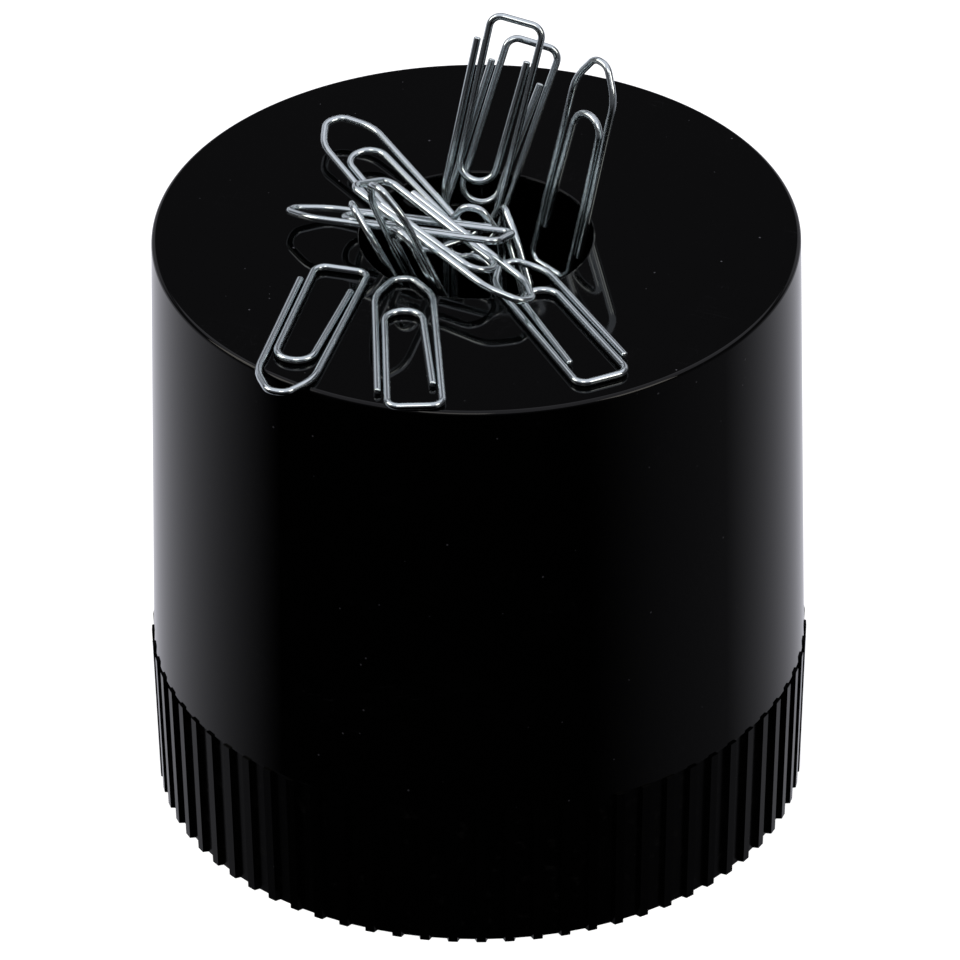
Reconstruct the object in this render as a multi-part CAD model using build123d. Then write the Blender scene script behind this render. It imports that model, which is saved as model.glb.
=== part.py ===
from build123d import *
import math
import os

# Magnetic paper clip holder: a smooth body over a ribbed base cap, a ring magnet under the top round the
# hole, and the paper clips that the magnet holds.
# Millimetres, +Z up, origin in the middle of the underside.

# Whole holder
HEIGHT = 68.4  # floor to top face
TOP_RADIUS = 35.0
BAND_HEIGHT = 17.5  # ribbed base cap, floor to the body's lower edge

# Body: one moulding, drafted so that it narrows upwards
BODY_FLARE = 0.7  # how much wider its lower edge is
WALL = 2.0
TOP_THICKNESS = 2.6
RIM_ROUND = 0.5
SOCKET_DEPTH = 9.0  # straight bore at the lower end that takes the base cap's spigot
LEAD_IN = 0.6

# Hole in the top and the collar that hangs round it
HOLE_RADIUS = 12.6
HOLE_CHAMFER = 0.25
COLLAR_WALL = 1.6

# Ring magnet and the ring that holds it up
MAGNET_WIDTH = 8.1  # bore to outside
MAGNET_HEIGHT = 6.0
MAGNET_CHAMFER = 0.5
MAGNET_CLEARANCE = 0.2
RETAINER_WIDTH = 5.25
RETAINER_HEIGHT = 1.6
RETAINER_GRIP = 0.05  # gap left at the push fit on the collar
RETAINER_SLOTS = 8
RETAINER_SLOT_WIDTH = 1.2
RETAINER_SLOT_DEPTH = 2.4

# Base cap: drafted the other way, with upright ribs
RIB_COUNT = 72
RIB_PROUD = 0.25  # how far the crests stand out past the body's lower edge
BASE_TAPER = 0.55  # how far the crests draw in from there to the floor
RIB_DEPTH = 0.6
RIB_FOOT_WIDTH = 1.4
RIB_CREST_WIDTH = 1.0
CAP_WALL = 2.0
CAP_FLOOR = 2.0
FOOT_WIDTH = 3.0  # standing ring under the cap
FOOT_HEIGHT = 1.0
SPIGOT_HEIGHT = 8.0
SPIGOT_WALL = 1.8
SPIGOT_CLEARANCE = 0.15
SPIGOT_CHAMFER = 0.8

# Paper clip: one wire, bent flat into a spiral with a pointed end and a square end
WIRE = 0.8
WIRE_SIDES = 6  # the wire is faceted, with the area of a round one
CLIP_LENGTH = 25.6
CLIP_WIDTH = 7.64  # over the legs at the square end
SHOULDER_WIDTH = 7.04  # over the legs where the pointed end begins
POINT_LENGTH = 3.2  # from the shoulders to the tip
POINT_WIDTH = 2.0
LEG_SPACING = 0.95  # outer leg to the inner leg beside it
OUTER_END = 3.0  # outer free end, from the square end
INNER_END = 4.1  # inner free end, from the square end
INNER_TOP = 6.3  # inner bend, from the tip
INNER_WIDTH = 4.0
SHOULDER_BEND = 5.0
TIP_BEND = 1.5
CORNER_BEND = 1.3
INNER_BEND = 1.95

# Points on the edge of the hole that the clips lean on, as turns round from +X. Clips that lie on one another go by
# the same point, so that they keep together.
HEAP = -150
BACK = 80
RIGHT = 26

# Where each clip's middle lies: its point on the edge of the hole, the distances outwards and sideways from there,
# and the height over that of a wire lying on the top. Then how its pointed end is turned: heading round from +X,
# rise above level, and roll about its own length.
CLIP_PLACES = {
    "clip_front_left": ((HEAP, 12.6, 7.7, 0.05), -105, 0, 0),
    "clip_front_center": ((HEAP, 4.8, 15.2, 0.05), 92, 0, 180),
    "clip_right_front": ((HEAP, -11.2, 19.6, 0.05), 115, 0, 0),
    "clip_upper_left": ((HEAP, -9.0, -12.6, 0.5), 119, 6, 177),
    "clip_across": ((HEAP, -4.5, -2.6, 2.3), 160, -4, 21),
    "clip_diagonal": ((HEAP, -6.4, 4.9, 3.5), -48, -8, 162),
    "clip_standing_back": ((BACK, -2.4, 0.4, 6.8), -130, -69, -25),
    "clip_standing_front": ((BACK, -0.6, 0.0, 3.0), -133, -62, -46),
    "clip_standing_right": ((RIGHT, -0.5, 0.0, 4.8), 38, 74, 3),
    "clip_lean_left": ((HEAP, -3.2, 4.2, -0.1), -173, 68, 29),
    "clip_lean_far_left": ((HEAP, -4.1, -0.4, -5.9), 167, 62, 27),
    "clip_center": ((HEAP, -12.4, 0.0, -9.3), -166, 89, 58),
    "clip_right": ((HEAP, -16.4, 5.9, -9.2), 117, 54, 76),
}

# Worked out from the sizes above
BODY_LOW_RADIUS = TOP_RADIUS + BODY_FLARE
RIB_TOP_RADIUS = BODY_LOW_RADIUS + RIB_PROUD
RIB_LOW_RADIUS = RIB_TOP_RADIUS - BASE_TAPER
SOCKET_RADIUS = BODY_LOW_RADIUS - WALL
SPIGOT_RADIUS = SOCKET_RADIUS - SPIGOT_CLEARANCE
CEILING = HEIGHT - TOP_THICKNESS
COLLAR_RADIUS = HOLE_RADIUS + COLLAR_WALL
COLLAR_END = CEILING - MAGNET_HEIGHT - RETAINER_HEIGHT
MAGNET_BORE = COLLAR_RADIUS + MAGNET_CLEARANCE
RETAINER_BORE = COLLAR_RADIUS + RETAINER_GRIP
SPIGOT_TOP = BAND_HEIGHT + SPIGOT_HEIGHT


def ring(inner, outer, low, high):
    """A plain ring round the Z axis between two heights."""
    tube = Circle(outer) - Circle(inner)
    return extrude(Plane.XY.offset(low) * tube, high - low)


def body_shell():
    """Smooth drafted wall, flat top, hole with its collar, and the socket for the base cap."""
    section = Polyline(
        (HOLE_RADIUS, HEIGHT),
        (TOP_RADIUS, HEIGHT),
        (BODY_LOW_RADIUS, BAND_HEIGHT),
        (SOCKET_RADIUS + LEAD_IN, BAND_HEIGHT),
        (SOCKET_RADIUS, BAND_HEIGHT + LEAD_IN),
        (SOCKET_RADIUS, BAND_HEIGHT + SOCKET_DEPTH),
        (TOP_RADIUS - WALL, CEILING),
        (COLLAR_RADIUS, CEILING),
        (COLLAR_RADIUS, COLLAR_END),
        (HOLE_RADIUS, COLLAR_END),
        close=True,
    )
    face = make_face(section)
    lip = face.vertices().group_by(Axis.Y)[-1].sort_by(Axis.X)[0]
    face = chamfer(lip, HOLE_CHAMFER)
    rim = face.vertices().group_by(Axis.Y)[-1].sort_by(Axis.X)[-1]
    face = fillet(rim, RIM_ROUND)
    return revolve(Plane.XZ * face, Axis.Z)


def ring_magnet():
    """Ring magnet, up against the ceiling, with its edges broken."""
    magnet = ring(MAGNET_BORE, MAGNET_BORE + MAGNET_WIDTH, CEILING - MAGNET_HEIGHT, CEILING)
    return chamfer(magnet.edges(), MAGNET_CHAMFER)


def magnet_retainer():
    """Ring pushed on to the collar under the magnet, slotted inside so that it springs."""
    low = COLLAR_END
    plate = ring(RETAINER_BORE, RETAINER_BORE + RETAINER_WIDTH, low, low + RETAINER_HEIGHT)
    slot = Pos(COLLAR_RADIUS, 0, low + RETAINER_HEIGHT / 2) * Box(
        2 * RETAINER_SLOT_DEPTH, RETAINER_SLOT_WIDTH, 2 * RETAINER_HEIGHT
    )
    return plate - PolarLocations(0, RETAINER_SLOTS) * slot


def ribbed_outline(crest, height):
    """The base cap's outline at one height: a rib with a flat crest at each pitch, one of them at the front."""
    foot = crest - RIB_DEPTH
    points = []
    for rib in range(RIB_COUNT):
        turn = Rot(Z=-90 + rib * 360 / RIB_COUNT)
        for radius, across in (
            (foot, -RIB_FOOT_WIDTH / 2),
            (crest, -RIB_CREST_WIDTH / 2),
            (crest, RIB_CREST_WIDTH / 2),
            (foot, RIB_FOOT_WIDTH / 2),
        ):
            points.append((turn * Pos(radius, across, height)).position)
    return make_face(Polyline(*points, close=True))


def base_cap():
    """Ribbed cup with a recessed underside and a spigot that plugs up into the body."""
    low = ribbed_outline(RIB_LOW_RADIUS, 0)
    high = ribbed_outline(RIB_TOP_RADIUS, BAND_HEIGHT)
    cap = loft([low, high], ruled=True)
    inside = RIB_LOW_RADIUS - RIB_DEPTH - CAP_WALL
    spigot_inside = SPIGOT_RADIUS - SPIGOT_WALL
    floor = FOOT_HEIGHT + CAP_FLOOR
    spigot = ring(spigot_inside, SPIGOT_RADIUS, BAND_HEIGHT - SPIGOT_WALL, SPIGOT_TOP)
    rims = spigot.edges().filter_by(GeomType.CIRCLE).group_by(Axis.Z)[-1]
    spigot = chamfer(rims.sort_by(SortBy.RADIUS)[-1], SPIGOT_CHAMFER)
    hollow = extrude(Plane.XY.offset(floor) * Circle(min(inside, spigot_inside)), BAND_HEIGHT)
    recess = extrude(Circle(RIB_LOW_RADIUS - RIB_DEPTH - FOOT_WIDTH), FOOT_HEIGHT)
    return cap + spigot - hollow - recess


def paper_clip():
    """One wire in the XY plane, its length along X and its middle at the origin, pointed end towards +X."""
    side = (CLIP_WIDTH - WIRE) / 2
    narrow = (SHOULDER_WIDTH - WIRE) / 2
    square = -(CLIP_LENGTH - WIRE) / 2
    tip = -square
    shoulder = tip - POINT_LENGTH
    inner = side - LEG_SPACING
    inner_narrow = narrow - LEG_SPACING
    bend = tip - INNER_TOP
    path = FilletPolyline(
        (square + OUTER_END, -side),
        (shoulder, -narrow),
        (tip, -POINT_WIDTH / 2),
        (tip, POINT_WIDTH / 2),
        (shoulder, narrow),
        (square, side),
        (square, -inner),
        (bend, -inner_narrow),
        (bend, INNER_WIDTH - inner_narrow),
        (square + INNER_END, inner),
        radius=[
            SHOULDER_BEND,
            TIP_BEND,
            TIP_BEND,
            SHOULDER_BEND,
            CORNER_BEND,
            CORNER_BEND,
            INNER_BEND,
            INNER_BEND,
        ],
    )
    corner = WIRE / 2 * math.sqrt(2 * math.pi / (WIRE_SIDES * math.sin(2 * math.pi / WIRE_SIDES)))
    start = Plane(origin=path @ 0, x_dir=(0, 1, 0), z_dir=path % 0)
    return sweep(start * RegularPolygon(corner, WIRE_SIDES), path=path)


def placed(clip, place):
    """A clip laid on the holder: middle point, heading, rise and roll."""
    (edge, outwards, sideways, above), heading, rise, roll = place
    middle = Rot(Z=edge) * Pos(HOLE_RADIUS + outwards, sideways, HEIGHT + WIRE / 2 + above)
    return Pos(middle.position) * Rot(Z=heading) * Rot(Y=-rise) * Rot(X=roll) * clip


pieces = {
    "base_cap": base_cap(),
    "body_shell": body_shell(),
    "ring_magnet": ring_magnet(),
    "magnet_retainer": magnet_retainer(),
}
clip = paper_clip()
for name, place in CLIP_PLACES.items():
    pieces[name] = placed(clip, place)

os.makedirs("parts", exist_ok=True)
for name, piece in pieces.items():
    piece.label = name
    export_step(piece, f"parts/{name}.step")
    print(name, len(piece.solids()), round(piece.volume, 1))
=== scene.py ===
# %% [markdown]
# A magnetic paper clip holder
#
# The holder is a polished black body over a ribbed black base cap, with a ring magnet hidden under the top.
# Loose steel clips hang on to the magnet round the hole. This lesson starts from the exact solids of that
# object and gives them their finishes, a camera and a small studio.

# %% Load the solids
import math

import bpy
from mathutils import Matrix, Vector


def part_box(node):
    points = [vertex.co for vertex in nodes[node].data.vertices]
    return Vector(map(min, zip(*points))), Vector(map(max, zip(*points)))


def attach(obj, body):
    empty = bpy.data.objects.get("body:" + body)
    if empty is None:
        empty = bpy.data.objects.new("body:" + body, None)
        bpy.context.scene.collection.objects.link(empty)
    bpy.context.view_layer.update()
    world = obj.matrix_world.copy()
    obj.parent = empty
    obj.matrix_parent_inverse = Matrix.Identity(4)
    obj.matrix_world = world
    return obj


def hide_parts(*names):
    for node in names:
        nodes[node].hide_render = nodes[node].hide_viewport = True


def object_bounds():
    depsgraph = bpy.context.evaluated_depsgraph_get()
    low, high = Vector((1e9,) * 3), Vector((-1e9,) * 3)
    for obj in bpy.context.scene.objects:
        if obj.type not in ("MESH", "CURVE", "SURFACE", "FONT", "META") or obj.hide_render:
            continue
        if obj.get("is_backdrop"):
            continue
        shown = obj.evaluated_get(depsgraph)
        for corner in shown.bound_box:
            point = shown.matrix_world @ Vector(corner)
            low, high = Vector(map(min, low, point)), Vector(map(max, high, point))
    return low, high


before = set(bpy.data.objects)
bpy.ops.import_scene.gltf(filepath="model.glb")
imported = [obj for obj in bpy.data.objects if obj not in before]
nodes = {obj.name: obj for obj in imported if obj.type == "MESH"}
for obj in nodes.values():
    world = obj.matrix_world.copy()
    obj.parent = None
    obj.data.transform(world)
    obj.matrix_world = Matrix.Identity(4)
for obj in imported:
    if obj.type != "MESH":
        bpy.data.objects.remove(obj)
MM = 0.001
cad_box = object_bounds()
clip_names = sorted(name for name in nodes if name.startswith("clip_"))
top_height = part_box("body_shell")[1].z
print("nodes", len(nodes), "of them clips", len(clip_names), "top face at", round(top_height / MM, 2), "mm")

# %% [markdown]
# The camera
#
# The photograph is taken from far away with a long lens, so upright edges stay nearly parallel. A camera
# without perspective would come close, but would lose the little that is left. So the camera stands 1.4 m
# away on the -Y side, about 34 degrees above level, and its lens is set from the size that the top has in
# the picture.

# %% Set up the camera
VIEW_ELEVATION = math.radians(33.69)
VIEW_DISTANCE = 1.4
VIEW_ROLL = math.radians(-0.42)
LOOK_AT = Vector((0.000217, 0.0, 0.03661))
PICTURE_SIZE = 960
FOCAL_PIXELS = 12837

scene = bpy.context.scene
camera = bpy.data.objects.new("camera", bpy.data.cameras.new("camera"))
scene.collection.objects.link(camera)
back = Vector((0.0, -math.cos(VIEW_ELEVATION), math.sin(VIEW_ELEVATION)))
level = (-back).to_track_quat("-Z", "Y").to_matrix().to_4x4()
stand = Matrix.Translation(LOOK_AT + back * VIEW_DISTANCE)
camera.matrix_world = stand @ level @ Matrix.Rotation(VIEW_ROLL, 4, "Z")
camera.data.sensor_width = 36.0
camera.data.lens = FOCAL_PIXELS / PICTURE_SIZE * camera.data.sensor_width
camera.data.clip_start = 0.01
scene.camera = camera
print("lens", round(camera.data.lens), "mm")

# %% [markdown]
# Shader sums in plain Python
#
# A finish is built from small sums: a noise times a mask, one minus a mask, and so on. Adding a node by hand
# for each of them hides the idea. The class below wraps one output socket, so that an expression in Python
# adds the Math nodes that it needs. Every other node comes from one method, `node`.

# %% One class for shader maths
class Signal:
    """One output of a node tree; sums on it add Math nodes."""

    def __init__(self, tree, socket=None):
        self.tree = tree
        self.socket = socket

    def node(self, kind, settings=None, inputs=None, output=0):
        """Adds a node: settings first, then the values or links of its sockets. Gives one of its outputs."""
        made = self.tree.nodes.new(kind)
        for name, value in (settings or {}).items():
            setattr(made, name, value)
        for name, value in (inputs or {}).items():
            if isinstance(value, Signal):
                self.tree.links.new(value.socket, made.inputs[name])
            else:
                made.inputs[name].default_value = value
        return Signal(self.tree, made.outputs[output] if made.outputs else None)

    def math(self, operation, first, second=0.0):
        return self.node("ShaderNodeMath", {"operation": operation}, {0: first, 1: second})

    def __add__(self, other):
        return self.math("ADD", self, other)

    def __radd__(self, other):
        return self.math("ADD", other, self)

    def __sub__(self, other):
        return self.math("SUBTRACT", self, other)

    def __rsub__(self, other):
        return self.math("SUBTRACT", other, self)

    def __mul__(self, other):
        return self.math("MULTIPLY", self, other)

    def __rmul__(self, other):
        return self.math("MULTIPLY", other, self)

    def __abs__(self):
        return self.math("ABSOLUTE", self)

    def above(self, low, high):
        """0 below low, 1 above high, with a soft step between; high may be the smaller one."""
        limits = {"Value": self, "From Min": low, "From Max": high}
        return self.node("ShaderNodeMapRange", {"interpolation_type": "SMOOTHSTEP"}, limits)

    def most(self, other):
        return self.math("MAXIMUM", self, other)

    def least(self, other):
        return self.math("MINIMUM", self, other)


# %% [markdown]
# A direction or a place is three numbers, and a Math node takes only one. So a helper splits it, and the sums
# go on with its parts. A colour stays whole and goes through a Mix node, because a sum would turn it grey.

# %% Split a direction and mix two colours
def parts_of(place):
    """The X, Y and Z of a place or a direction."""
    split = place.node("ShaderNodeSeparateXYZ", {}, {0: place}).socket.node
    return [Signal(place.tree, split.outputs[axis]) for axis in range(3)]


def color_mix(start, share, first, second):
    """A colour between two colours; in a Mix node these are the sockets 6 and 7 and the output 2."""
    return start.node("ShaderNodeMix", {"data_type": "RGBA"}, {0: share, 6: first, 7: second}, 2)


def grey(value):
    return (value, value, value, 1.0)


# %% [markdown]
# The studio
#
# Polished black plastic shows little of its own colour: what is seen is the room. In the photograph the wall
# grows lighter towards both edges and the top stays almost black. So the room is white below the horizon
# behind the holder, as a white table is, and fades to black in front. Over the horizon comes a dark gap,
# which is what the top shows, with a pale screen at either side of it and a pale ceiling above, which the
# clips show. Screens made as meshes could be mirrored too, but they would get in the way of other views. A
# world that fades by direction gives all of this, the same at every height. The camera itself sees plain
# white.

# %% Light the room
TABLE_BESIDE = 0.1
TABLE_BEHIND = 0.78
TABLE_LEAN = 0.1
SIDE_LIGHT = 0.11
GAP_LIGHT = 0.08
SCREEN_LIGHT = 0.5
CEILING_LIGHT = 0.75
COOL_WHITE = (0.97, 0.97, 1.06, 1.0)

scene.view_settings.view_transform = "Standard"
scene.world = bpy.data.worlds.new("room")
scene.world.use_nodes = True
scene.world.node_tree.nodes.clear()
room = Signal(scene.world.node_tree)
direction = room.node("ShaderNodeTexCoord", output="Generated")
rightward, behind, upward = parts_of(direction)
fading = TABLE_BESIDE + TABLE_BEHIND * behind - TABLE_LEAN * rightward
table = fading.most(SIDE_LIGHT * rightward.above(0.5, 0.85)) * upward.above(0.15, -0.1)
gap = GAP_LIGHT * upward.above(-0.05, 0.2)
low_wall = upward.above(0.05, 0.2) * upward.above(0.58, 0.48)
screens = SCREEN_LIGHT * (low_wall * behind.above(0.5, 0.75) * abs(rightward).above(0.1, 0.28))
ceiling = CEILING_LIGHT * upward.above(0.585, 0.65)
seen = room.node("ShaderNodeLightPath", output="Is Camera Ray")
strength = seen.most(table + gap + screens + ceiling)
color = color_mix(room, seen, COOL_WHITE, grey(1.0))
backdrop = room.node("ShaderNodeBackground", {}, {"Color": color, "Strength": strength})
room.node("ShaderNodeOutputWorld", {}, {"Surface": backdrop})
print("room drawn with", len(scene.world.node_tree.nodes), "nodes")

# %% [markdown]
# Three square lamps stand high at the left, the right and the front. They are small beside the room and a
# little warm, and they give the bends of the wire their white glints.

# %% Hang the lamps
WARM_WHITE = (1.0, 0.95, 0.86)


def softbox(name, toward, distance, size, watts):
    """A square lamp that looks at the middle of the holder from that direction."""
    lamp = bpy.data.lights.new(name, "AREA")
    lamp.shape = "SQUARE"
    lamp.size = size
    lamp.energy = watts
    lamp.color = WARM_WHITE
    item = bpy.data.objects.new(name, lamp)
    scene.collection.objects.link(item)
    item.location = LOOK_AT + Vector(toward).normalized() * distance
    item.rotation_euler = Vector(toward).to_track_quat("Z", "Y").to_euler()
    print(name, "hangs at", [round(value, 2) for value in item.location])


softbox("left_box", toward=(-0.8, -0.05, 0.62), distance=0.7, size=0.36, watts=1.2)
softbox("right_box", toward=(0.75, -0.45, 0.6), distance=0.8, size=0.3, watts=1.0)
softbox("front_box", toward=(-0.1, -0.6, 0.8), distance=0.8, size=0.25, watts=0.5)

# %% [markdown]
# The floor is a plain white sheet. A shadow catcher would leave the white to be put in afterwards, so the
# sheet brings its own. To the camera most of its white is that, with a share that comes from the lamps, so a
# soft shadow stays under the holder. Reflections skip it and see the room. From below the sheet is clear, so
# that the underside of the holder can be looked at too.

# %% Lay the floor
FLOOR_REACH = 3.0
FLOOR_OWN_WHITE = 0.88
FLOOR_PAINT = 0.45


def new_material(name):
    """An empty node material and the signal that its nodes start from."""
    material = bpy.data.materials.new(name)
    material.use_nodes = True
    material.node_tree.nodes.clear()
    return material, Signal(material.node_tree)


def give_surface(start, shader):
    start.node("ShaderNodeOutputMaterial", {}, {"Surface": shader})


def white_sheet():
    material, start = new_material("white_sheet")
    own = start.node("ShaderNodeEmission", {}, {"Color": grey(1.0), "Strength": FLOOR_OWN_WHITE})
    lit = start.node("ShaderNodeBsdfDiffuse", {}, {"Color": grey(FLOOR_PAINT)})
    both = start.node("ShaderNodeAddShader", {}, {0: own, 1: lit})
    seen = start.node("ShaderNodeLightPath", output="Is Camera Ray")
    from_above = start.node("ShaderNodeMixShader", {}, {0: seen, 1: lit, 2: both})
    below = start.node("ShaderNodeNewGeometry", output="Backfacing")
    clear = start.node("ShaderNodeBsdfTransparent")
    give_surface(start, start.node("ShaderNodeMixShader", {}, {0: below, 1: from_above, 2: clear}))
    return material


sheet = bpy.data.meshes.new("floor")
corners = [(x * FLOOR_REACH, y * FLOOR_REACH, 0) for x, y in ((-1, -1), (1, -1), (1, 1), (-1, 1))]
sheet.from_pydata(corners, [], [(0, 1, 2, 3)])
sheet.materials.append(white_sheet())
floor = bpy.data.objects.new("floor", sheet)
scene.collection.objects.link(floor)
floor.location.z = cad_box[0].z
floor.visible_glossy = False
floor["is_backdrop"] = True
print("floor at", floor.location.z)

# %% [markdown]
# Lines with round corners
#
# Two shapes below come from one flat line: the body is a section spun round the axis, and a clip is a wire
# along its outline. A Bezier curve could draw such a line, but its arcs would only be near to true ones. Here
# straight runs meet in arcs, and each arc's points come from its corner and its radius. Every point keeps the
# exact way along the line there, which gives true normals, and how far it is in a bend.

# %% Draw a line with round corners
ARC_STEP = math.radians(12)


def rounded_line(corners):
    """(place, way along, bent) for each point, from corners given as x, y and the bend's radius."""
    places = [Vector(corner[:2]) for corner in corners]
    points = [(places[0], (places[1] - places[0]).normalized(), 0.0)]
    for index in range(1, len(corners) - 1):
        here, radius = places[index], corners[index][2]
        arriving = (here - places[index - 1]).normalized()
        leaving = (places[index + 1] - here).normalized()
        turn = arriving.angle_signed(leaving)
        first = here - arriving * (radius * math.tan(abs(turn) / 2))
        arm = Vector((-arriving.y, arriving.x)) * math.copysign(radius, turn)
        steps = max(2, round(abs(turn) / ARC_STEP))
        for step in range(steps + 1):
            swing = Matrix.Rotation(-turn * step / steps, 2)
            points.append((first - arm + swing @ arm, swing @ arriving, math.sin(math.pi * step / steps)))
    points.append((places[-1], (places[-1] - places[-2]).normalized(), 0.0))
    return points


# %% [markdown]
# The body, spun in fine steps
#
# The body is a turned shape. Its solid comes with few steps round the axis, and a mirror finish would show
# them along the rim. So the same section is spun again in fine steps. A Screw modifier would spin it too, but
# would work the normals out from the faces, and here they are the section's own. Sizes are in millimetres.

# %% Draw the body's section
HOLE_RADIUS = 12.6
HOLE_EDGE = 0.25
RIM_ROUND = 0.5
BODY_FLARE = 0.7
WALL = 2.0
TOP_THICKNESS = 2.6
COLLAR_WALL = 1.6
COLLAR_LENGTH = 7.6
SOCKET_DEPTH = 9.0
LEAD_IN = 0.6
BROKEN_EDGE = 0.06
SEAM_DEPTH = 5.0

body_low, body_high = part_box("body_shell")
top = body_high.z / MM
foot = body_low.z / MM
low_radius = body_high.x / MM
top_radius = low_radius - BODY_FLARE
collar = HOLE_RADIUS + COLLAR_WALL
inner_top = top - TOP_THICKNESS
collar_end = inner_top - COLLAR_LENGTH
socket = low_radius - WALL
seam = (HOLE_RADIUS, top - SEAM_DEPTH, 0.0)
SECTION = [
    seam,
    (HOLE_RADIUS, top, HOLE_EDGE),
    (top_radius, top, RIM_ROUND),
    (low_radius, foot, BROKEN_EDGE),
    (socket + LEAD_IN, foot, BROKEN_EDGE),
    (socket, foot + LEAD_IN, BROKEN_EDGE),
    (socket, foot + SOCKET_DEPTH, BROKEN_EDGE),
    (top_radius - WALL, inner_top, BROKEN_EDGE),
    (collar, inner_top, BROKEN_EDGE),
    (collar, collar_end, BROKEN_EDGE),
    (HOLE_RADIUS, collar_end, BROKEN_EDGE),
    seam,
]
print("section from height", round(foot, 2), "to", round(top, 2), "and out to radius", round(low_radius, 2))

# %% [markdown]
# Each point of the section goes once round the axis as a ring, and neighbouring rings are joined by faces.
# The section is closed, so the last ring is joined to the first.

# %% Spin the body
SPIN_STEPS = 216


def smooth_mesh(name, verts, normals, faces):
    """A smooth mesh whose normals are given and not worked out."""
    mesh = bpy.data.meshes.new(name)
    mesh.from_pydata(verts, [], faces)
    mesh.shade_smooth()
    mesh.normals_split_custom_set_from_vertices(normals)
    return mesh


def spun_mesh(name, section):
    """The section turned round the Z axis, in metres."""
    rings = rounded_line(section)[:-1]
    verts, normals, faces = [], [], []
    for place, along, _ in rings:
        for step in range(SPIN_STEPS):
            turn = Matrix.Rotation(2 * math.pi * step / SPIN_STEPS, 3, "Z")
            verts.append(turn @ Vector((place.x, 0.0, place.y)) * MM)
            normals.append(turn @ Vector((-along.y, 0.0, along.x)))
    for ring in range(len(rings)):
        near = ring * SPIN_STEPS
        far = (ring + 1) % len(rings) * SPIN_STEPS
        for step in range(SPIN_STEPS):
            following = (step + 1) % SPIN_STEPS
            faces.append((near + step, far + step, far + following, near + following))
    return smooth_mesh(name, verts, normals, faces)


body = bpy.data.objects.new("spun_body", spun_mesh("spun_body", SECTION))
scene.collection.objects.link(body)
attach(body, "housing")
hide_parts("body_shell")
print("body spun with", len(body.data.polygons), "faces")

# %% [markdown]
# Places, noises and specks
#
# All solids are in metres in one frame, so the object coordinates say where on the holder a point is. They
# are turned into millimetres once, and every grain size below is then a real size.

# %% Helpers for places and patterns
def place_in_mm(start):
    """Where the point is on the holder, in millimetres."""
    metres = start.node("ShaderNodeTexCoord", output="Object")
    return start.node("ShaderNodeVectorMath", {"operation": "SCALE"}, {0: metres, "Scale": 1 / MM})


def stretched(place, scale, turn=(0.0, 0.0, 0.0)):
    """The place, turned and then stretched, for grain that runs one way."""
    turned = place.node("ShaderNodeMapping", {}, {"Vector": place, "Rotation": turn})
    return place.node("ShaderNodeVectorMath", {"operation": "MULTIPLY"}, {0: turned, 1: scale})


def from_axis(place):
    """Distance from the holder's axis."""
    flat = place.node("ShaderNodeVectorMath", {"operation": "MULTIPLY"}, {0: place, 1: (1.0, 1.0, 0.0)})
    return place.node("ShaderNodeVectorMath", {"operation": "LENGTH"}, {0: flat}, "Value")


def noise(place, per_mm=1.0, detail=3.0, roughness=0.5):
    values = {"Vector": place, "Scale": per_mm, "Detail": detail, "Roughness": roughness}
    return place.node("ShaderNodeTexNoise", {}, values, "Fac")


def specks(place, spacing, radius, share):
    """Small round specks: one in a cell of about that spacing, in that share of the cells."""
    cell = {"Vector": place, "Scale": 1 / spacing, "Randomness": 1.0}
    grid = place.node("ShaderNodeTexVoronoi", {}, cell, "Distance")
    chance = Signal(place.tree, grid.socket.node.outputs["Color"])
    chosen = parts_of(chance)[0].above(1 - share, 1 - share + 0.02)
    return grid.above(radius / spacing, 0.4 * radius / spacing) * chosen


def hairlines(place, turn, width):
    """Fine scratches that run one way, broken up so that each is only some millimetres long."""
    along = stretched(place, (0.05, 1.3, 1.3), turn)
    line = abs(noise(along, detail=1.0) - 0.5).above(width, 0.0)
    return line * noise(place, per_mm=0.11, detail=1.0).above(0.56, 0.66)


# %% [markdown]
# Every finish below ends in the same way. What changes over the surface goes into the colour, the roughness
# and the bump, and what is the same all over is set on the shader itself. A piece of the holder has one
# finish all over, so its solid needs only one material.

# %% Helpers that end a finish
def give_finish(start, color, rough, height, bump, **constants):
    """Ends a material with a colour, a roughness, a height in millimetres and the strength of its bump."""
    normal = start.node("ShaderNodeBump", {}, {"Strength": bump, "Distance": MM, "Height": height})
    varying = {"Base Color": color, "Roughness": rough, "Normal": normal}
    give_surface(start, start.node("ShaderNodeBsdfPrincipled", {}, varying | constants))


def put_finish_on(name, material):
    """Gives the solid of that name one finish all over."""
    slots = nodes[name].data.materials
    slots.clear()
    slots.append(material)
    print(name, "has", material.name, "made of", len(material.node_tree.nodes), "nodes")


# %% [markdown]
# The polished body
#
# The body is moulded in black plastic and polished. Close to, such a surface has a faint waviness from the
# mould, wiping marks that only change the gloss, a few hairline scratches, and dust. Clips that jump to the
# magnet scuff the top round the hole. All of it is far too fine for geometry, so it goes into the roughness,
# the bump and a trace of colour. The spun body shares the material of the solid that it stands for.

# %% Make the polished black plastic
BODY_BLACK = grey(0.0004)
DUST_ON_BODY = (0.16, 0.16, 0.18, 1.0)
SCUFF_INNER = 13.0
SCUFF_OUTER = 24.0


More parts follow.
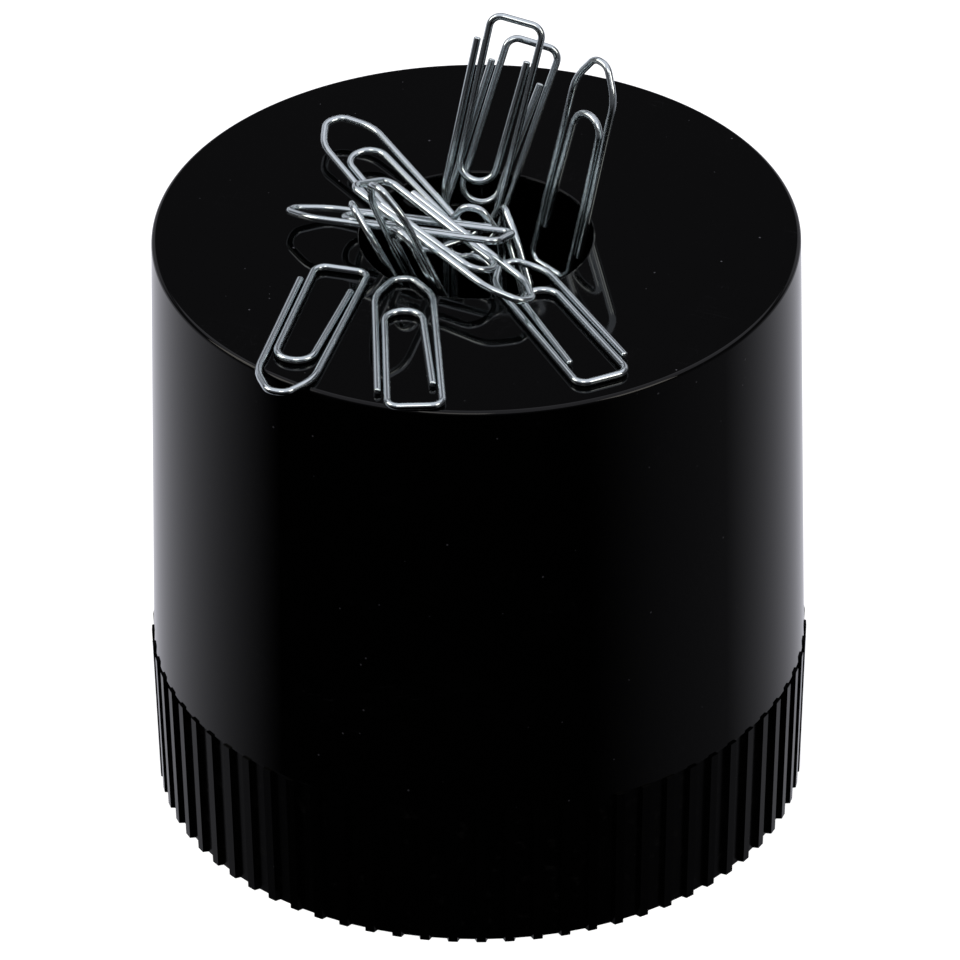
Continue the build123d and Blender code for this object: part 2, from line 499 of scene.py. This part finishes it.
def polished_black():
    material, start = new_material("polished_black")
    place = place_in_mm(start)
    _, _, height = parts_of(place)
    on_top = height.above(top - 0.3, top - 0.1)
    round_hole = from_axis(place).above(SCUFF_OUTER, SCUFF_INNER) * on_top
    wiped = noise(stretched(place, (0.02, 0.16, 0.1), (0.0, 0.0, 0.5)), detail=4.0)
    coarse = specks(place, spacing=2.4, radius=0.15, share=0.45)
    dust = coarse.most(specks(place, spacing=1.3, radius=0.07, share=0.12))
    scratch = hairlines(place, turn=(0.0, 0.0, 0.4), width=0.004)
    crossing = hairlines(place, turn=(0.0, 0.3, 1.9), width=0.004)
    scuff = hairlines(place, turn=(0.2, 0.0, 2.7), width=0.008) * round_hole
    marks = scratch.most(crossing).most(scuff)
    pale = dust * (0.25 + 0.35 * on_top) + marks * 0.03
    color = color_mix(start, pale, BODY_BLACK, DUST_ON_BODY)
    rough = 0.018 + 0.025 * wiped.above(0.35, 0.75) + 0.2 * dust + 0.05 * marks + 0.015 * round_hole
    waviness = noise(place, per_mm=0.16, detail=1.0) * 0.012 + dust * 0.01 - marks * 0.002
    give_finish(start, color, rough, waviness, bump=0.3, IOR=1.32)
    return material


body_black = polished_black()
put_finish_on("body_shell", body_black)
body.data.materials.append(body_black)

# %% [markdown]
# The ribbed base cap
#
# The base cap is the same plastic but isn't polished: its crests are rubbed smooth by hands, and its grooves
# keep the dull skin of the mould and a little dust. A mask for the grooves could be stored on a mesh, but the
# solid's mesh stays as it is. How far a point is from the axis tells crest from groove just as well. The ribs
# draw in a little towards the floor, so the crest is worked out for each height.

# %% Make the ribbed black plastic
BASE_TAPER = 0.55
BASE_BLACK = grey(0.0006)
DUST_ON_BASE = (0.12, 0.115, 0.11, 1.0)


def ribbed_black():
    material, start = new_material("ribbed_black")
    place = place_in_mm(start)
    _, _, height = parts_of(place)
    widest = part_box("base_cap")[1].x / MM
    crest = widest - BASE_TAPER * (1 - height * (1 / foot))
    in_groove = (crest - from_axis(place)).above(0.15, 0.55)
    grain = noise(place, per_mm=2.6)
    settled = in_groove * noise(place, per_mm=0.8).above(0.55, 0.75)
    dust = specks(place, spacing=1.4, radius=0.1, share=0.12).most(settled * 0.2)
    color = color_mix(start, dust * 0.12, BASE_BLACK, DUST_ON_BASE)
    rough = 0.1 + 0.1 * in_groove + 0.06 * grain + 0.25 * dust
    give_finish(start, color, rough, grain * 0.012 + dust * 0.02, bump=0.3, IOR=1.2)
    return material


put_finish_on("base_cap", ribbed_black())

# %% [markdown]
# The magnet and its ring
#
# The magnet is pressed from powder and fired, so it is dark grey and grainy, with tiny pits. The ring that
# holds it up is a plain black moulding. Both are inside, and show only from below with the body lifted off,
# so a noise for the grain and specks for the pits are enough.

# %% Make the magnet's and the retainer's finishes
FIRED_DARK = (0.028, 0.027, 0.027, 1.0)
FIRED_PALE = (0.07, 0.068, 0.067, 1.0)
MOULDED_DARK = grey(0.018)
MOULDED_PALE = grey(0.03)


def fired_magnet():
    material, start = new_material("fired_magnet")
    place = place_in_mm(start)
    grain = noise(place, per_mm=3.5, detail=5.0, roughness=0.65)
    pits = specks(place, spacing=0.9, radius=0.2, share=0.35)
    color = color_mix(start, grain.above(0.3, 0.7), FIRED_DARK, FIRED_PALE)
    give_finish(start, color, 0.5 + 0.25 * grain, grain * 0.05 - pits * 0.08, bump=0.6, Metallic=0.2)
    return material


def plain_black():
    material, start = new_material("plain_black")
    grain = noise(place_in_mm(start), per_mm=4.0)
    color = color_mix(start, grain, MOULDED_DARK, MOULDED_PALE)
    give_finish(start, color, 0.4 + 0.2 * grain, grain * 0.03, bump=0.4)
    return material


put_finish_on("ring_magnet", fired_magnet())
put_finish_on("magnet_retainer", plain_black())

# %% [markdown]
# A clip is one bent wire
#
# Each clip is one steel wire, bent flat: a pointed end, a square end, and an inner loop with a round bend.
# The solids have a faceted wire. Here the same line is drawn again with a round wire, so that light runs
# along it as it does on the real one. A curve with a round bevel would be shorter to write, but a mesh can
# also carry the length along the wire and the places of its bends, which the finish needs.

# %% Draw the wire's line
WIRE_RADIUS = 0.4
CLIP_LENGTH = 25.6
CLIP_WIDTH = 7.64
SHOULDER_WIDTH = 7.04
POINT_LENGTH = 3.2
POINT_WIDTH = 2.0
LEG_SPACING = 0.95
OUTER_END = 3.0
INNER_END = 4.1
INNER_TOP = 6.3
INNER_WIDTH = 4.0
SHOULDER_BEND = 5.0
TIP_BEND = 1.5
CORNER_BEND = 1.3
INNER_BEND = 1.95

side = CLIP_WIDTH / 2 - WIRE_RADIUS
narrow = SHOULDER_WIDTH / 2 - WIRE_RADIUS
square = WIRE_RADIUS - CLIP_LENGTH / 2
tip = -square
half_point = POINT_WIDTH / 2
inner = side - LEG_SPACING
inner_narrow = narrow - LEG_SPACING
bend = tip - INNER_TOP
shoulder = tip - POINT_LENGTH
OUTLINE = [
    (square + OUTER_END, -side, 0.0),
    (shoulder, -narrow, SHOULDER_BEND),
    (tip, -half_point, TIP_BEND),
    (tip, half_point, TIP_BEND),
    (shoulder, narrow, SHOULDER_BEND),
    (square, side, CORNER_BEND),
    (square, -inner, CORNER_BEND),
    (bend, -inner_narrow, INNER_BEND),
    (bend, INNER_WIDTH - inner_narrow, INNER_BEND),
    (square + INNER_END, inner, 0.0),
]
wire_line = rounded_line(OUTLINE)
print("wire drawn with", len(wire_line), "points")

# %% [markdown]
# The tube is a ring of points at each place on the line. The line lies in one plane, so each ring needs only
# the way across the wire and the plane's own normal. The cut ends get one smaller ring each, which breaks the
# edge as a cutting tool does. The normals are given, straight out of the wire: worked out from the faces they
# would lean over along the whole of a free leg, because a leg has rings only at its ends.

# %% Make a clip's mesh
RING_POINTS = 14
CUT_EDGE = 0.09


def rings_of(line):
    """(middle, way across, radius, length so far, bent, lean of the normal) for each ring of the tube."""
    rings = []
    length = 0.0
    before = line[0][0]
    for here, along, bent in line:
        length += (here - before).length
        before = here
        rings.append((here, Vector((-along.y, along.x)), WIRE_RADIUS, length, bent, Vector((0.0, 0.0))))
    for end, way in ((0, line[0][1]), (-1, -line[-1][1])):
        place, across, radius, length, bent, lean = rings[end]
        rings[end] = (place + way * CUT_EDGE, across, radius, length, bent, lean)
        face = (place, across, radius - CUT_EDGE, length, bent, -way)
        rings.insert(0 if end == 0 else len(rings), face)
    return rings


def clip_mesh(line):
    """The round wire in millimetres, flat in the XY plane with its middle at the origin."""
    verts, normals, faces, drawn, bends = [], [], [], [], []
    rings = rings_of(line)
    for middle, across, radius, length, bent, lean in rings:
        for point in range(RING_POINTS):
            angle = 2 * math.pi * point / RING_POINTS
            out = (across * math.cos(angle)).to_3d() + Vector((0.0, 0.0, math.sin(angle)))
            verts.append(middle.to_3d() + out * radius)
            normals.append((out + lean.to_3d()).normalized())
            drawn.append((length, math.cos(angle), math.sin(angle)))
            bends.append(bent)
    for ring in range(len(rings) - 1):
        near = ring * RING_POINTS
        far = near + RING_POINTS
        for point in range(RING_POINTS):
            following = (point + 1) % RING_POINTS
            faces.append((near + point, near + following, far + following, far + point))
    faces.append(tuple(reversed(range(RING_POINTS))))
    faces.append(tuple(range(len(verts) - RING_POINTS, len(verts))))
    mesh = smooth_mesh("round_wire", verts, normals, faces)
    mesh.attributes.new("drawn", "FLOAT_VECTOR", "POINT").data.foreach_set("vector", sum(drawn, ()))
    mesh.attributes.new("bent", "FLOAT", "POINT").data.foreach_set("value", bends)
    return mesh


wire_mesh = clip_mesh(wire_line)
print("clip mesh has", len(wire_mesh.polygons), "faces")

# %% [markdown]
# Plated steel
#
# The wire is drawn through a die and plated, so it is a bright grey metal with very fine lines along its
# length. Where it was bent, the tool left it a little duller. The lines need to follow the wire round its
# bends, and the attribute with the length along the wire gives them that.

# %% Make the plated steel
BRIGHT_STEEL = (0.67, 0.735, 0.755, 1.0)
DULL_STEEL = (0.56, 0.615, 0.63, 1.0)


def plated_steel():
    material, start = new_material("plated_steel")
    drawn = start.node("ShaderNodeAttribute", {"attribute_name": "drawn"}, output="Vector")
    bent = start.node("ShaderNodeAttribute", {"attribute_name": "bent"}, output="Fac")
    lines = noise(stretched(drawn, (0.06, 3.0, 3.0)), detail=2.0)
    patches = noise(stretched(drawn, (0.2, 0.5, 0.5)), detail=2.0)
    nicks = noise(stretched(drawn, (1.2, 2.0, 2.0)), detail=2.0).above(0.76, 0.82)
    dull = (0.4 * patches.above(0.45, 0.75) + 0.3 * bent).least(1.0)
    color = color_mix(start, dull, BRIGHT_STEEL, DULL_STEEL)
    rough = 0.15 + 0.06 * dull + 0.03 * lines + 0.1 * nicks
    give_finish(start, color, rough, lines * 0.001 - nicks * 0.003, bump=0.15, Metallic=1.0)
    return material


steel = plated_steel()
print("steel made of", len(steel.node_tree.nodes), "nodes")

# %% [markdown]
# The heap of clips
#
# A physics run could drop the clips, but they would not land as in the photograph. So each clip lies where
# its solid lies. The place of its middle is given from a point on the edge of the hole: outwards, sideways
# and over the height of a wire lying on the top. There are three such points, given as bearings in degrees.
# Then comes the turn of the clip's pointed end: heading, rise and roll. The round wire takes the solid's
# place and rides on that clip's own body.

# %% Lay the clips
HEAP = -150
BACK = 80
RIGHT = 26
CLIP_PLACES = {
    "clip_front_left": ((HEAP, 12.6, 7.7, 0.05), -105, 0, 0),
    "clip_front_center": ((HEAP, 4.8, 15.2, 0.05), 92, 0, 180),
    "clip_right_front": ((HEAP, -11.2, 19.6, 0.05), 115, 0, 0),
    "clip_upper_left": ((HEAP, -9.0, -12.6, 0.5), 119, 6, 177),
    "clip_across": ((HEAP, -4.5, -2.6, 2.3), 160, -4, 21),
    "clip_diagonal": ((HEAP, -6.4, 4.9, 3.5), -48, -8, 162),
    "clip_standing_back": ((BACK, -2.4, 0.4, 6.8), -130, -69, -25),
    "clip_standing_front": ((BACK, -0.6, 0.0, 3.0), -133, -62, -46),
    "clip_standing_right": ((RIGHT, -0.5, 0.0, 4.8), 38, 74, 3),
    "clip_lean_left": ((HEAP, -3.2, 4.2, -0.1), -173, 68, 29),
    "clip_lean_far_left": ((HEAP, -4.1, -0.4, -5.9), 167, 62, 27),
    "clip_center": ((HEAP, -12.4, 0.0, -9.3), -166, 89, 58),
    "clip_right": ((HEAP, -16.4, 5.9, -9.2), 117, 54, 76),
}


def lay_clip(name, place):
    """A round clip in the place of the solid of that name."""
    (edge, outwards, sideways, above), heading, rise, roll = place
    mesh = wire_mesh.copy()
    mesh.materials.append(steel)
    spin = Matrix.Rotation(math.radians(heading), 4, "Z") @ Matrix.Rotation(math.radians(-rise), 4, "Y")
    spin = spin @ Matrix.Rotation(math.radians(roll), 4, "X")
    middle = Vector((HOLE_RADIUS + outwards, sideways, top + WIRE_RADIUS + above)) * MM
    where = Matrix.Translation(Matrix.Rotation(math.radians(edge), 3, "Z") @ middle)
    mesh.transform(where @ spin @ Matrix.Scale(MM, 4))
    clip = bpy.data.objects.new(name + "_wire", mesh)
    scene.collection.objects.link(clip)
    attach(clip, name)
    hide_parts(name)
    return clip


for name, place in CLIP_PLACES.items():
    clip = lay_clip(name, place)
    low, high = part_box(name)
    middle = sum((Vector(corner) for corner in clip.bound_box), Vector()) / 8
    print(name, "is off its solid by", round((middle - (low + high) / 2).length / MM, 3), "mm")

# %% [markdown]
# The size
#
# The pieces drawn here stand for exact solids, so the box round what is seen should match the box round the
# solids. Both are printed.

# %% Print both boxes
visual_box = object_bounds()
for kind, (low, high) in (("cad", cad_box), ("visual", visual_box)):
    print(kind, "box", [round(value / MM, 1) for value in high - low], "mm")
